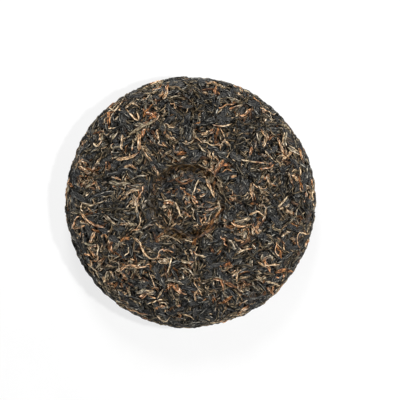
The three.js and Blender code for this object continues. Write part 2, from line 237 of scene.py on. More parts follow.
# The leaves that stand out on the back: kind, width, tone, tint, and the points that the middle of the leaf
# passes, seen from above
LANDMARKS = (
    (BROWN_LEAF, 3.8, 0.95, 0.1, ((-63, 70), (-63, 64), (-63, 58))),
    (BUD, 2.8, 0.5, 0.2, ((-50, 74), (-45, 78), (-39, 74))),
    (STEM, 1.8, 0.8, 0.2, ((-50, 73), (-41, 63), (-39, 65), (-41, 70))),
    (BUD, 2.8, 0.3, 0.9, ((-47, 52), (-37, 59), (-27, 63), (-23, 68), (-26, 70), (-30, 67))),
    (BUD, 3.5, 0.8, 0.1, ((-39, 53), (-39, 46), (-39, 40))),
    (BUD, 3.2, 0.7, 0.9, ((-57, 33), (-50, 34), (-44, 35), (-39, 39))),
    (BUD, 2.5, 0.6, 0.2, ((-52, 52), (-53, 42), (-49, 37))),
    (BUD, 4.0, 0.15, 0.1, ((-63, 16), (-56, 14), (-46, 15))),
    (BUD, 2.5, 0.7, 0.9, ((-51, 27), (-46, 29), (-40, 25))),
    (BUD, 2.5, 0.6, 0.2, ((-50, 6), (-44, 9), (-37, 10))),
    (BROWN_LEAF, 3.2, 0.9, 0.1, ((-96, 15), (-92, 12))),
    (BROWN_LEAF, 2.2, 0.75, 0.2, ((-81, 27), (-73, 23))),
    (BROWN_LEAF, 2.5, 0.95, 0.2, ((-36, 66), (-33, 72), (-28, 77))),
    (BUD, 2.2, 0.7, 0.2, ((-24, 83), (-20, 87))),
    (STEM, 1.8, 0.6, 0.9, ((-75, 46), (-72, 43), (-68, 48))),
    (BUD, 2.9, 0.7, 0.1, ((13, 18), (17, 10), (20, 3))),
    (STEM, 1.9, 0.5, 0.2, ((23, 1), (24, -6), (21, -10))),
    (BROWN_LEAF, 3.2, 0.9, 0.1, ((11, -25), (17, -17), (22, -10), (26, -5))),
    (BROWN_LEAF, 2.0, 0.7, 0.1, ((7, -27), (13, -24), (19, -19))),
    (STEM, 2.0, 0.9, 0.1, ((33, -16), (37, -19), (43, -19), (49, -17))),
    (STEM, 1.5, 0.8, 0.9, ((94, -25), (90, -25), (86, -23), (84, -29), (85, -34), (88, -38))),
    (BUD, 2.5, 0.5, 0.1, ((72, -27), (75, -24), (80, -23))),
    (STEM, 1.9, 0.8, 0.1, ((47, -10), (53, -7), (59, -11))),
    (BUD, 2.2, 0.6, 0.9, ((60, -4), (59, -11), (56, -18))),
    (BUD, 3.0, 0.7, 0.9, ((48, 14), (48, 8), (50, 1))),
    (STEM, 2.0, 0.6, 0.2, ((69, -4), (73, 0), (77, 5))),
    (BUD, 2.2, 0.5, 0.9, ((77, 23), (79, 17), (81, 12))),
    (BROWN_LEAF, 2.0, 0.9, 0.2, ((85, 20), (86, 15), (89, 9))),
    (BUD, 2.8, 0.8, 0.2, ((69, 50), (71, 45), (73, 38))),
    (BUD, 2.5, 0.9, 0.9, ((49, 43), (47, 35))),
    (STEM, 1.8, 0.5, 0.2, ((59, 40), (62, 36), (66, 32))),
    (STEM, 1.5, 0.6, 0.9, ((41, 33), (51, 31), (62, 30))),
    (BUD, 2.2, 0.6, 0.9, ((60, 20), (62, 15), (68, 12))),
    (BUD, 2.2, 0.8, 0.9, ((13, 25), (17, 25), (21, 20))),
    (BUD, 2.5, 0.8, 0.9, ((56, 57), (60, 51), (62, 48), (66, 53))),
    (STEM, 2.0, 0.4, 0.1, ((-86, 0), (-77, -3), (-66, 1))),
    (BUD, 2.5, 0.8, 0.9, ((-85, -8), (-81, -14), (-75, -18), (-66, -20))),
    (BUD, 2.2, 0.4, 0.1, ((-66, -10), (-61, -15), (-55, -20))),
    (BROWN_LEAF, 2.8, 0.95, 0.1, ((-54, -31), (-51, -28), (-46, -29))),
    (
        STEM, 2.0, 0.8, 0.1,
        ((-44, -28), (-39, -31), (-37, -37), (-33, -43), (-28, -45), (-25, -43), (-21, -44)),
    ),
    (BUD, 2.4, 0.8, 0.1, ((-54, -54), (-52, -51), (-46, -49), (-40, -51), (-32, -50))),
    (BUD, 2.4, 0.5, 0.9, ((-57, -53), (-53, -55), (-49, -60))),
    (STEM, 1.6, 0.3, 0.1, ((-79, -50), (-74, -54), (-71, -60))),
    (BUD, 2.8, 0.05, 0.1, ((-41, -71), (-37, -70), (-33, -68))),
    (BUD, 2.2, 0.9, 0.2, ((-17, -64), (-13, -64), (-11, -68), (-2, -72))),
    (STEM, 1.9, 0.9, 0.9, ((-52, -82), (-47, -85), (-41, -87), (-33, -88))),
    (STEM, 1.9, 0.7, 0.1, ((-25, -89), (-22, -93), (-18, -93), (-15, -89))),
    (STEM, 1.8, 0.7, 0.2, ((-17, -55), (-15, -49), (-14, -43))),
    (STEM, 2.0, 0.5, 0.1, ((-22, -27), (-17, -26), (-10, -29), (-6, -32))),
    (STEM, 1.9, 0.6, 0.9, ((13, -43), (5, -41), (3, -38))),
    (STEM, 1.9, 0.6, 0.9, ((38, -39), (44, -37), (50, -36))),
    (STEM, 1.9, 0.8, 0.1, ((37, -62), (37, -57), (39, -53))),
    (BROWN_LEAF, 3.5, 0.85, 0.1, ((68, -55), (75, -53), (82, -55))),
    (STEM, 1.8, 0.8, 0.1, ((54, -47), (59, -50), (65, -49), (71, -49))),
    (BUD, 2.2, 0.9, 0.1, ((19, -60), (25, -61), (26, -64), (27, -70))),
    (BROWN_LEAF, 4.0, 0.6, 0.1, ((27, -62), (33, -65), (40, -68))),
    (BUD, 2.8, 0.8, 0.9, ((38, -89), (41, -85), (46, -81))),
    (BUD, 2.2, 0.7, 0.2, ((5, -77), (4, -72), (7, -68))),
    (STEM, 2.1, 0.7, 0.1, ((-11, 0), (-9, -5), (-7, -10), (-5, -12))),
    (BUD, 3.0, 0.9, 0.95, ((-20, -1), (-16, 0), (-12, -2))),
    (BUD, 2.1, 0.5, 0.1, ((-5, 2), (-3, 8))),
    (BROWN_LEAF, 1.9, 0.6, 0.1, ((-11, 18), (-6, 14), (-1, 15), (5, 19))),
    (BUD, 2.5, 0.4, 0.1, ((21, 15), (24, 11), (25, 6))),
    (BROWN_LEAF, 2.8, 0.05, 0.1, ((-14, -20), (-8, -24), (0, -27), (7, -28))),
    ("umber_rolls", 2.0, 0.3, 0.1, ((-11, 27), (-5, 29), (2, 29), (6, 26))),
    (BUD, 2.2, 0.8, 0.1, ((86, 42), (87, 38), (89, 33))),
    (BUD, 2.3, 0.2, 0.1, ((53, 54), (54, 50), (55, 45))),
    (BUD, 2.2, 0.3, 0.1, ((52, -58), (56, -61), (60, -58))),
    (STEM, 1.6, 0.6, 0.1, ((61, -63), (66, -63), (71, -66), (73, -64))),
    (BUD, 2.2, 0.9, 0.1, ((61, -67), (64, -70), (67, -74))),
    (BROWN_LEAF, 2.8, 0.9, 0.1, ((26, -79), (30, -76), (34, -73))),
    (BUD, 2.6, 0.05, 0.1, ((-17, -60), (-11, -61), (-4, -64))),
    (BUD, 1.9, 0.5, 0.1, ((-25, -75), (-22, -70), (-20, -67))),
    (BUD, 2.3, 0.2, 0.1, ((-41, -71), (-37, -69), (-34, -67))),
    (STEM, 1.6, 0.5, 0.1, ((-23, -78), (-19, -78), (-17, -81), (-17, -85))),
    (STEM, 1.7, 0.6, 0.1, ((-64, 75), (-59, 71), (-56, 74), (-54, 78))),
)

# Sections across a leaf, from its left edge over the top to its right edge and back underneath: how far
# across in half widths, and how high in leaf heights
SECTIONS = {
    "roll": ((-1, 0.05), (-0.56, 0.95), (-0.14, 0.2), (0.3, 1.0), (0.72, 0.6), (1, 0.05), (0, -0.4)),
    "bud": ((-1, 0.05), (-0.6, 0.95), (-0.24, 1.0), (0.04, 0.2), (0.42, 1.0), (1, 0.05), (0, -0.4)),
    "thread": ((-1, 0.2), (-0.45, 0.95), (0.45, 0.95), (1, 0.2), (0, -0.35)),
    "blade": (
        (-1, 0.85), (-0.66, 0.3), (-0.3, 0.6), (0, 0.25), (0.34, 0.55), (0.7, 0.25), (1, 0.9),
        (0.5, -0.1), (-0.5, -0.1),
    ),
}


def smooth(x, low, high):
    t = np.clip((x - low) / (high - low), 0, 1)
    return t * t * (3 - 2 * t)


def section_table():
    """The cake's section from the middle of the back to the middle of the front: radius, level and way."""
    turn = np.linspace(math.pi / 2, 0, SECTION_STEPS)

    def quarter(curve, height):
        radial, axial = curve
        return RIM_RADIUS * np.cos(turn) ** (2 / radial), height * np.sin(turn) ** (2 / axial)

    back_r, back_z = quarter(BACK_CURVE, THICKNESS - RIM_HEIGHT)
    front_r, front_z = quarter(FRONT_CURVE, RIM_HEIGHT + REST_CUT)
    radius = np.concatenate((back_r, front_r[::-1][1:]))
    level = np.concatenate((RIM_HEIGHT + back_z, RIM_HEIGHT - front_z[::-1][1:]))
    steps = np.hypot(np.diff(radius), np.diff(level))
    return radius, level, np.concatenate(([0], np.cumsum(steps)))


SECTION_RADIUS, SECTION_LEVEL, SECTION_WAY = section_table()
SECTION_LENGTH = SECTION_WAY[-1]


def from_dimple(u, v):
    """How far a chart's point is from the dimple's middle, and which way."""
    du = u - DIMPLE_CENTRE[0]
    dv = v - DIMPLE_CENTRE[1]
    return np.hypot(du, dv), np.arctan2(dv, du)


def dimple(u, v):
    """How far the dimple lowers the back at this point."""
    r, turn = from_dimple(u, v)
    groove = GROOVE_DEPTH * (1 + GROOVE_UNEVEN * np.cos(2 * (turn - GROOVE_DEEP_AT)))
    crown = BUTTON_CROWN * (1 - np.minimum(1, r / BUTTON_RADIUS) ** 2)
    inside = BUTTON_DROP - crown + (groove - BUTTON_DROP) * smooth(r, BUTTON_RADIUS, GROOVE_RADIUS)
    outside = groove * (1 - smooth(r, GROOVE_RADIUS, LIP_RADIUS))
    return np.where(r < GROOVE_RADIUS, inside, outside)


def face_wave(u, v):
    per_length = 2 * math.pi / FACE_WAVE["length"]
    fade = 1 - smooth(np.hypot(u, v), FACE_WAVE["from"], FACE_WAVE["to"])
    return FACE_WAVE["height"] * fade * np.sin(per_length * u) * np.cos(per_length * v)


def skin(face, u, v):
    """The points of the press skin under the chart's points."""
    reach = np.hypot(u, v)
    turn = np.arctan2(v, u)
    way = reach if face == "back" else SECTION_LENGTH - reach
    share = 1 + sum(size * np.cos(lobes * turn + phase) for lobes, size, phase in OUTLINE_WAVES)
    radius = np.interp(way, SECTION_WAY, SECTION_RADIUS) * share
    level = np.interp(way, SECTION_WAY, SECTION_LEVEL)
    sunk = np.where(level > RIM_HEIGHT, dimple(u, v) - face_wave(u, v), 0)
    return np.stack((radius * np.cos(turn), radius * np.sin(turn), level - sunk), -1)


def place(face, u, v, lift):
    """Wraps chart points onto the skin, lifted along the outward normal, and none under the rest plane."""
    points = skin(face, u, v)
    normal = np.cross(skin(face, u + NORMAL_STEP, v) - points, skin(face, u, v + NORMAL_STEP) - points)
    normal /= np.linalg.norm(normal, axis=-1, keepdims=True)
    if face == "front":
        normal = -normal
    placed = points + normal * lift[..., None]
    placed[..., 2] = np.maximum(placed[..., 2], 0)
    return placed


class Chart:
    """One face drawn flat, with the height of what lies on it so far and which leaf is on top."""

    def __init__(self, face):
        self.face = face
        self.half = int(CHART_REACH / CELL)
        line = (np.arange(2 * self.half + 1) - self.half) * CELL
        self.u, self.v = np.meshgrid(line, line)
        self.way = np.hypot(self.u, self.v)
        self.height = np.zeros_like(self.u)
        self.top = np.full(self.u.shape, -1)

    def cells(self, u, v):
        column = np.clip(np.rint(u / CELL).astype(int) + self.half, 0, 2 * self.half)
        row = np.clip(np.rint(v / CELL).astype(int) + self.half, 0, 2 * self.half)
        return row, column

    def read(self, grid, u, v):
        return grid[self.cells(u, v)]

    def height_from(self, other):
        """The other face's heights, where its chart reaches over the rim to this one's points."""
        turn = np.arctan2(self.v, self.u)
        reach = SECTION_LENGTH - self.way
        there = other.read(other.height, reach * np.cos(turn), reach * np.sin(turn))
        return np.where(reach < CHART_REACH, there, 0)

    def press_level(self):
        """The mean height round each cell, which the press brings to the skin."""
        spread = PRESS_BLUR / CELL
        reach = int(BLUR_REACH * spread)
        offsets = np.arange(-reach, reach + 1)
        kernel = np.exp(-0.5 * (offsets / spread) ** 2)
        covered = (self.way < CHART_REACH - CHART_MARGIN).astype(float)

        def blur(grid):
            for axis in (0, 1):
                grid = np.apply_along_axis(np.convolve, axis, grid, kernel, "same")
            return grid

        return blur(self.height * covered) / np.maximum(blur(covered), 1e-6)


def press(height, level):
    """The lift of a height in the loose pile once pressed: what stands proud and what lies deep move in."""
    rel = height - level
    above = PRESS_ABOVE * (1 - np.exp(-np.maximum(rel, 0) / PRESS_ABOVE))
    below = PRESS_BELOW * (np.exp(np.minimum(rel, 0) / PRESS_BELOW) - 1)
    return above + below - PRESS_ABOVE


def lie(u, v):
    """The way that leaves tend to lie at a chart's point, and how far they stray from it."""
    turn = np.arctan2(v, u)
    way = np.hypot(u, v)

    # Waves of several lengths turn the heading from place to place
    field = 2.4 * np.sin(u / 12 + 1.4 * np.sin(v / 17)) + 1.9 * np.cos(v / 13 + 0.9 * np.sin(u / 19))

    # On the groove and on the rim the leaves lie along them
    ring_reach, ring_turn = from_dimple(u, v)
    on_rim = smooth(way, RIM_FROM, RIM_TO)
    on_ring = np.exp(-(((ring_reach - GROOVE_RADIUS) / RING_SPREAD) ** 2))
    heading = np.where(on_ring > 0.5, ring_turn + math.pi / 2, field)
    heading = np.where(on_rim > 0.5, turn + math.pi / 2, heading)
    stray = STRAY - STRAY_LESS * np.maximum(on_rim, on_ring)
    return heading, stray


def gathering(u, v):
    """Where the golden leaves lie closer together, about -1 to 1, and less towards the rim."""
    field = np.sin(u / 8 + 1.5 * np.sin(v / 13) + 0.7) * np.cos(v / 9 + 1.2 * np.sin(u / 16))
    return field - GATHER_LESS_AT_RIM * smooth(np.hypot(u, v), RIM_FROM, RIM_TO)


def column(values):
    return values[:, None]


def of_kinds(kind, name):
    """What the kinds say under this name, for leaves of these kinds, by number."""
    return np.array([getattr(k, name) for k in KINDS])[kind]


def leaf_bodies(kind):
    """Sizes and outlines for leaves of these kinds, by number, as a dict of arrays."""
    count = len(kind)

    def spread(name):
        least, most = of_kinds(kind, name).T
        return least + (most - least) * random.random(count) ** SMALLER_MORE_OFTEN

    t = ALONG
    phase = random.uniform(0, 2 * math.pi, count)

    # A blunt base, a pointed tip and an uneven edge
    base_end = column(random.uniform(*BASE_END, count))
    tip_end = column(random.uniform(*TIP_END, count))
    taper = smooth(t, BASE_FROM, base_end) * (1 - TIP_NARROWS * smooth(t, 1 - tip_end, TIP_TO))
    swells = column(random.uniform(*SWELLS, count))
    uneven = 1 + SWELL_SIZE * np.sin(2 * math.pi * swells * t + column(phase) * 3)
    return {
        "kind": kind,
        "length": spread("length"),
        "height": spread("height"),
        "half_width": column(spread("width") / 2) * taper * uneven,
        "taper": np.sqrt(taper),
        "tone": random.random(count),
        "tint": random.random(count),
        "twist": random.uniform(*TWISTS, count),
        "phase": phase,
        "follows": np.zeros(count, bool),
    }


def random_leaves(count, reach):
    """Random leaves of all kinds, each with a path round the origin and a few places to choose from."""
    shares = np.array([kind.share for kind in KINDS])
    kind = random.choice(len(KINDS), count, p=shares / shares.sum())
    kind = kind[np.argsort(random.random(count) + of_kinds(kind, "late"))]
    leaves = leaf_bodies(kind)

    t = ALONG
    bend = random.normal(0, 1, count) * of_kinds(kind, "bend")
    wave = random.normal(0, 1, count) * of_kinds(kind, "wave")
    waves = random.uniform(*WAVES, count)
    hook = (random.random(count) < of_kinds(kind, "hooked")) * random.uniform(*HOOK, count)
    hook *= random.choice((-1, 1), count)
    heading = column(bend) * (t - 0.5) + column(hook) * smooth(t, HOOK_FROM, 1)
    heading = heading + column(wave) * np.sin(2 * math.pi * column(waves) * t + column(leaves["phase"]))
    step = column(leaves["length"]) / (PATH_SAMPLES - 1)
    x = np.cumsum(np.cos(heading) * step, axis=1)
    y = np.cumsum(np.sin(heading) * step, axis=1)

    reach_at = reach * np.sqrt(random.random((count, CANDIDATES)))
    turn_at = random.uniform(0, 2 * math.pi, (count, CANDIDATES))
    centre_u = reach_at * np.cos(turn_at)
    centre_v = reach_at * np.sin(turn_at)
    lying, stray = lie(centre_u, centre_v)
    flipped = math.pi * (random.random(count) < 0.5)
    leaves.update(
        x=x - x.mean(axis=1, keepdims=True),
        y=y - y.mean(axis=1, keepdims=True),
        heading=heading,
        centre_u=centre_u,
        centre_v=centre_v,
        aim=lying + stray * random.normal(0, 1, (count, CANDIDATES)) + column(flipped),
        liking=column(of_kinds(kind, "gather")) * gathering(centre_u, centre_v),
    )
    return leaves


def landmark_leaves():
    """The leaves that stand out, each with a path of its own on the back's chart."""
    count = len(LANDMARKS)
    leaves = leaf_bodies(np.array([NUMBER_OF[kind] for kind, *_ in LANDMARKS]))
    on_back = SECTION_LEVEL >= RIM_HEIGHT
    u, v = np.empty((2, count, PATH_SAMPLES))
    for i, (_, width, tone, tint, route) in enumerate(LANDMARKS):
        x, y = np.array(route, float).T
        stretch = np.interp(np.hypot(x, y), SECTION_RADIUS[on_back], SECTION_WAY[on_back]) / np.hypot(x, y)
        way = np.concatenate(([0], np.cumsum(np.hypot(np.diff(x), np.diff(y)))))
        samples = np.linspace(0, way[-1], PATH_SAMPLES)
        path = np.stack((np.interp(samples, way, x * stretch), np.interp(samples, way, y * stretch)))
        for _ in range(ROUTE_ROUNDING):
            path[:, 1:-1] = (path[:, :-2] + 2 * path[:, 1:-1] + path[:, 2:]) / 4
        u[i], v[i] = path
        leaves["length"][i] = way[-1]
        leaves["half_width"][i] *= width / (2 * leaves["half_width"][i].max())
        leaves["tone"][i] = tone
        leaves["tint"][i] = tint
    nothing = np.zeros((count, CANDIDATES))
    heading = np.unwrap(np.arctan2(np.gradient(v, axis=1), np.gradient(u, axis=1)), axis=1)
    leaves.update(x=u, y=v, heading=heading, centre_u=nothing, centre_v=nothing, aim=nothing, liking=nothing)
    return leaves


def with_strands(leaves):
    """Adds a thin strand beside some of the golden buds. It lies where its bud lies, and is laid next."""
    count = len(leaves["kind"])
    has_strand = (leaves["kind"] == NUMBER_OF[BUD]) & (random.random(count) < STRAND_SHARE)
    buds = np.flatnonzero(has_strand)
    strands = {name: values[buds] for name, values in leaves.items()}
    aside = strands["half_width"].max(axis=1) + random.uniform(*STRAND_GAP, len(buds))
    aside = column(aside * random.choice((-1, 1), len(buds)))
    strands["x"] = strands["x"] - aside * np.sin(strands["heading"])
    strands["y"] = strands["y"] + aside * np.cos(strands["heading"])
    strands["half_width"] = strands["half_width"] * STRAND_WIDTH
    strands["kind"] = np.full(len(buds), NUMBER_OF[STEM])
    strands["tone"] = random.random(len(buds))
    strands["phase"] = random.uniform(0, 2 * math.pi, len(buds))
    strands["follows"] = np.ones(len(buds), bool)
    order = np.argsort(np.concatenate((np.arange(count), buds + 0.5)))
    return {name: np.concatenate((leaves[name], strands[name]))[order] for name in leaves}


def lay_leaves(chart, reach, last=None):
    """Lays leaves on the chart one after another, each in the best of a few places, on those below."""
    middle_area = OUTLINE_FILLS * sum(k.share * np.mean(k.length) * np.mean(k.width) for k in KINDS)
    middle_area /= sum(k.share for k in KINDS)
    leaves = random_leaves(int(COVER * math.pi * reach**2 / middle_area), reach)
    if last:
        leaves = {name: np.concatenate((leaves[name], last[name])) for name in leaves}
    leaves = with_strands(leaves)
    count = len(leaves["kind"])
    across = np.linspace(-LAID_WIDTH, LAID_WIDTH, LAID_LINES)
    dome = 1 - DOME_FALL * across**2
    path_u, path_v, path_heading, base = np.empty((4, count, PATH_SAMPLES))
    for i in range(count):
        x, y = leaves["x"][i], leaves["y"][i]
        aim = leaves["aim"][i]
        cos, sin = np.cos(aim)[:, None], np.sin(aim)[:, None]
        u = leaves["centre_u"][i][:, None] + x * cos - y * sin
        v = leaves["centre_v"][i][:, None] + x * sin + y * cos
        if not leaves["follows"][i]:
            best = np.argmin(chart.read(chart.height, u, v).mean(axis=1) - leaves["liking"][i])
        u, v = u[best], v[best]
        turn = aim[best] + leaves["heading"][i]
        half = leaves["half_width"][i]
        wide_u = u[:, None] - np.sin(turn)[:, None] * half[:, None] * across
        wide_v = v[:, None] + np.cos(turn)[:, None] * half[:, None] * across
        cells = chart.cells(wide_u, wide_v)
        under = chart.height[cells]
        rest = under.max(axis=1)
        rest = np.maximum(rest, np.maximum(np.roll(rest, 1), np.roll(rest, -1)))
        padded = np.pad(rest, len(STIFFNESS) - 1, mode="edge")
        rest = np.convolve(np.convolve(padded, STIFFNESS, "valid"), STIFFNESS, "valid")
        at_rim = smooth(np.hypot(u, v), RIM_FROM, RIM_TO)
        leaves["height"][i] *= 1 - FLATTER_AT_RIM * at_rim.mean()
        bridge = BRIDGE + (BRIDGE_AT_RIM - BRIDGE) * at_rim
        rest = np.minimum(rest, under.mean(axis=1) + bridge)
        rest = rest - SINK * leaves["height"][i]
        crest = rest[:, None] + (leaves["height"][i] * leaves["taper"][i])[:, None] * dome
        higher = crest > under
        chart.height[cells] = np.maximum(under, crest)
        chart.top[cells[0][higher], cells[1][higher]] = i
        path_u[i], path_v[i], path_heading[i], base[i] = u, v, turn, rest
    leaves.update(u=path_u, v=path_v, turn=path_heading, base=base)
    return leaves


def add_object(name, data):
    thing = bpy.data.objects.new(name, data)
    bpy.context.scene.collection.objects.link(thing)
    return thing


def mesh_object(name, points, faces, material):
    """A piece from its points in millimetres and its faces, index arrays of three or four columns."""
    mesh = bpy.data.meshes.new(name)
    corners = np.concatenate([f.ravel() for f in faces]).astype(np.int32)
    totals = np.concatenate([np.full(len(f), f.shape[1]) for f in faces])
    starts = np.concatenate(([0], np.cumsum(totals)[:-1])).astype(np.int32)
    mesh.vertices.add(len(points))
    mesh.vertices.foreach_set("co", (points * MM).astype(np.float32).ravel())
    mesh.loops.add(len(corners))
    mesh.loops.foreach_set("vertex_index", corners)
    mesh.polygons.add(len(totals))
    mesh.polygons.foreach_set("loop_start", starts)
    mesh.polygons.foreach_set("use_smooth", np.ones(len(totals), bool))
    mesh.update(calc_edges=True)
    mesh.set_sharp_from_angle(angle=CREASE_ANGLE)
    mesh.materials.append(material)
    piece = add_object(name, mesh)
    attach(piece, "root")
    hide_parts(NODE)
    return piece


def set_attribute(piece, name, values):
    """A number or a vector for each point."""
    form, key = ("FLOAT", "value") if values.ndim == 1 else ("FLOAT_VECTOR", "vector")
    attribute = piece.data.attributes.new(name, form, "POINT")
    attribute.data.foreach_set(key, values.astype(np.float32).ravel())


def set_bake_map(piece, uv):
    """The map that the piece's finish is baked on: one uv pair for each face corner."""
    layer = piece.data.uv_layers.new(name="OFBake")
    layer.data.foreach_set("uv", uv.astype(np.float32).ravel())


def groove_tint_and_shade(face, u, v):
    """How strongly the groove's olive tint and painted shade lie on the leaves here, from 0 to 1."""
    r, turn = from_dimple(u, v)
    in_groove = np.exp(-(((r - GROOVE_RADIUS) / TINT_AND_SHADE_SPREAD) ** 4))
    round_it = TINT_AND_SHADE_LEAST + (TINT_AND_SHADE_MOST - TINT_AND_SHADE_LEAST) * np.cos(turn - TINT_AND_SHADE_DARKEST_AT) ** 2
    return in_groove * round_it * (face == "back")


def tube_corners(stations, around):
    """The face corners of a closed tube, as places along it and round it: its sides and its pointed ends."""

    def corners(along, side):
        return np.stack((np.stack(along, 1), np.stack(side, 1)), -1)

    along, side = np.meshgrid(np.arange(stations - 1), np.arange(around), indexing="ij")
    along, side = along.ravel(), side.ravel()
    sides = corners((along, along + 1, along + 1, along), (side, side, side + 1, side + 1))
    side = np.arange(around)
    none = 0 * side
    end = none + stations
    first = corners((none, none, none - 1), (side, side + 1, side + 0.5))
    last = corners((end - 1, end - 1, end), (side + 1, side, side + 0.5))
    return sides, first, last


def tube_faces(corners, stations, around):
    """The same corners as points, where these run round ring after ring and end with the two tips."""
    along, side = corners[..., 0], corners[..., 1]
    first_tip = stations * around
    ring_point = along * around + side % around
    return np.where(along < 0, first_tip, np.where(along < stations, ring_point, first_tip + 1)).astype(int)


def with_tips(rings, tips):
    """One row for each leaf, with what its rings hold and then what its two tips hold."""
    return np.concatenate((rings.reshape(len(rings), -1, *rings.shape[3:]), tips), axis=1)


def leaf_shapes(kind, chart, leaves, level, mine):
    """The points of these leaves, and what the finish needs to know at each."""
    across_at, high_at = np.array(SECTIONS[kind.section]).T
    shape = (len(mine), kind.stations, len(across_at))
    samples = np.arange(kind.stations) * (PATH_SAMPLES - 1) // (kind.stations - 1)
    part = (samples / (PATH_SAMPLES - 1))[None, :, None]

    def on_path(name):
        return leaves[name][mine][:, samples, None]

    def of_leaf(name):
        return leaves[name][mine][:, None, None]

    u, v, turn, half = (on_path(name) for name in ("u", "v", "turn", "half_width"))
    lift = press(on_path("base"), chart.read(level, u, v))

    # The folds wander from side to side, as on a leaf that was rolled by twisting it, and are crumpled
    twisting = 2 * math.pi * of_leaf("twist") * part
    sway = FOLD_SWAY * np.sin(twisting + of_leaf("phase")) * (1 - across_at**2)
    across = across_at + sway + random.normal(0, CRUMPLE_ASIDE, shape)
    spiral = FOLD_RISE * np.sin(twisting + SPIRAL_LAG * across_at + 2 * of_leaf("phase"))
    rise = high_at * (1 + (high_at > 0) * (spiral + random.normal(0, CRUMPLE_UP, shape)))
    wide_u = u - np.sin(turn) * half * across
    wide_v = v + np.cos(turn) * half * across
    rings = place(chart.face, wide_u, wide_v, lift + rise * of_leaf("height") * on_path("taper"))

    ends = [0, -1]
    outward = np.array((-1, 1)) * (TIP_REACH * half[:, ends, 0] + TIP_LENGTH)
    tip_u = u[:, ends, 0] + np.cos(turn[:, ends, 0]) * outward
    tip_v = v[:, ends, 0] + np.sin(turn[:, ends, 0]) * outward
    tips = place(chart.face, tip_u, tip_v, lift[:, ends, 0] + TIP_HEIGHT * of_leaf("height")[..., 0])

    spread = np.zeros(shape)
    grain = (of_leaf("length") * part + spread, half * across, GRAIN_STEP * of_leaf("tone") + spread)
    finish = {
        "grain": np.stack(grain, -1),
        "tone": of_leaf("tone") + spread,
        "tint": of_leaf("tint") + spread,
        "part": part + spread,
        "tint_and_shade": groove_tint_and_shade(chart.face, wide_u, wide_v),
    }
    finish = {name: with_tips(values, values[:, ends, 0]) for name, values in finish.items()}
    ridge = np.clip(rise, 0, HIGHEST_RIDGE)
    finish["ridge"] = with_tips(ridge, 0 * ridge[:, ends, 0])
    finish["points"] = with_tips(rings, tips)
    return finish


def leaf_piece(number, laid, material):
    """All leaves of one kind that show, on both faces, as one piece."""
    kind = KINDS[number]
    stations = kind.stations
    around = len(SECTIONS[kind.section])
    shapes = []
    for chart, leaves, level, shown in laid:
        mine = np.flatnonzero((leaves["kind"] == number) & shown)
        shapes.append(leaf_shapes(kind, chart, leaves, level, mine))
    values = {name: np.concatenate([shape[name] for shape in shapes]) for name in shapes[0]}
    points = values.pop("points")
    count, per_leaf = points.shape[:2]
    corners = tube_corners(stations, around)
    shift = per_leaf * np.arange(count)[:, None, None]
    faces = [(tube_faces(group, stations, around) + shift).reshape(-1, group.shape[1]) for group in corners]
    piece = mesh_object(kind.name, points.reshape(-1, 3), faces, material)
    for name, each in values.items():
        set_attribute(piece, name, each.reshape(-1, 3) if each.ndim == 3 else each.ravel())

    # Each leaf's skin is unrolled into a cell of its own
    columns = max(1, round(math.sqrt(count / MAP_CELL_LONG)))
    rows = math.ceil(count / columns)
    leaf = np.arange(count)
    cell = np.stack((leaf % columns, leaf // columns), -1)[:, None, None] + MAP_CELL_MARGIN
    uv = []
    for group in corners:
        x = np.interp(group[..., 0], (-1, 0, stations - 1, stations), (0, TIP_ROOM, 1 - TIP_ROOM, 1))
        inside = (1 - 2 * MAP_CELL_MARGIN) * np.stack((x, group[..., 1] / around), -1)
        uv.append(((cell + inside) / (columns, rows)).reshape(-1, 2))
    set_bake_map(piece, np.concatenate(uv))
    return piece


def core_piece(material):
    """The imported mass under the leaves: a closed, crumbly skin a little inside the press skin."""
    ways = (np.arange(CORE_RINGS) + 0.5) / CORE_RINGS * SECTION_LENGTH
    turns = 2 * math.pi * np.arange(CORE_SEGMENTS) / CORE_SEGMENTS
    way, turn = np.meshgrid(ways, turns, indexing="ij")

    # Crumbs by chance, and lumps where two sets of waves cross
    crumbs = random.normal(0, CORE_CRUMBS, way.shape)
    relief = crumbs + CORE_LUMPS * np.sin(way * 1.9 + 3 * np.sin(7 * turn)) * np.sin(23 * turn + way * 0.4)
    points = np.empty(way.shape + (3,))
    on_back = way <= SECTION_LENGTH / 2
    for face, here, reach in (("back", on_back, way), ("front", ~on_back, SECTION_LENGTH - way)):
        placed = place(face, reach * np.cos(turn), reach * np.sin(turn), CORE_LIFT + relief)
        points[here] = placed[here]
    middle = np.zeros(1)
    poles = [place(face, middle, middle, middle + CORE_LIFT) for face in ("back", "front")]
    corners = tube_corners(CORE_RINGS, CORE_SEGMENTS)
    faces = [tube_faces(group, CORE_RINGS, CORE_SEGMENTS) for group in corners]
    piece = mesh_object("core", np.concatenate((points.reshape(-1, 3), *poles)), faces, material)

    # Both faces are unrolled as discs, at two corners of the map
    uv = []
    for group in corners:
        way = np.clip((group[..., 0] + 0.5) / CORE_RINGS, 0, 1)
        turn = 2 * math.pi * group[..., 1] / CORE_SEGMENTS
        on_back = way.max(axis=1, keepdims=True) <= 0.5
        reach = 2 * DISC_RADIUS * np.where(on_back, way, 1 - way)
        disc_middle = np.where(on_back, DISC_MIDDLE, 1 - DISC_MIDDLE)
        disc = np.stack((disc_middle + reach * np.cos(turn), disc_middle + reach * np.sin(turn)), -1)
        uv.append(disc.reshape(-1, 2))
    set_bake_map(piece, np.concatenate(uv))
    return piece


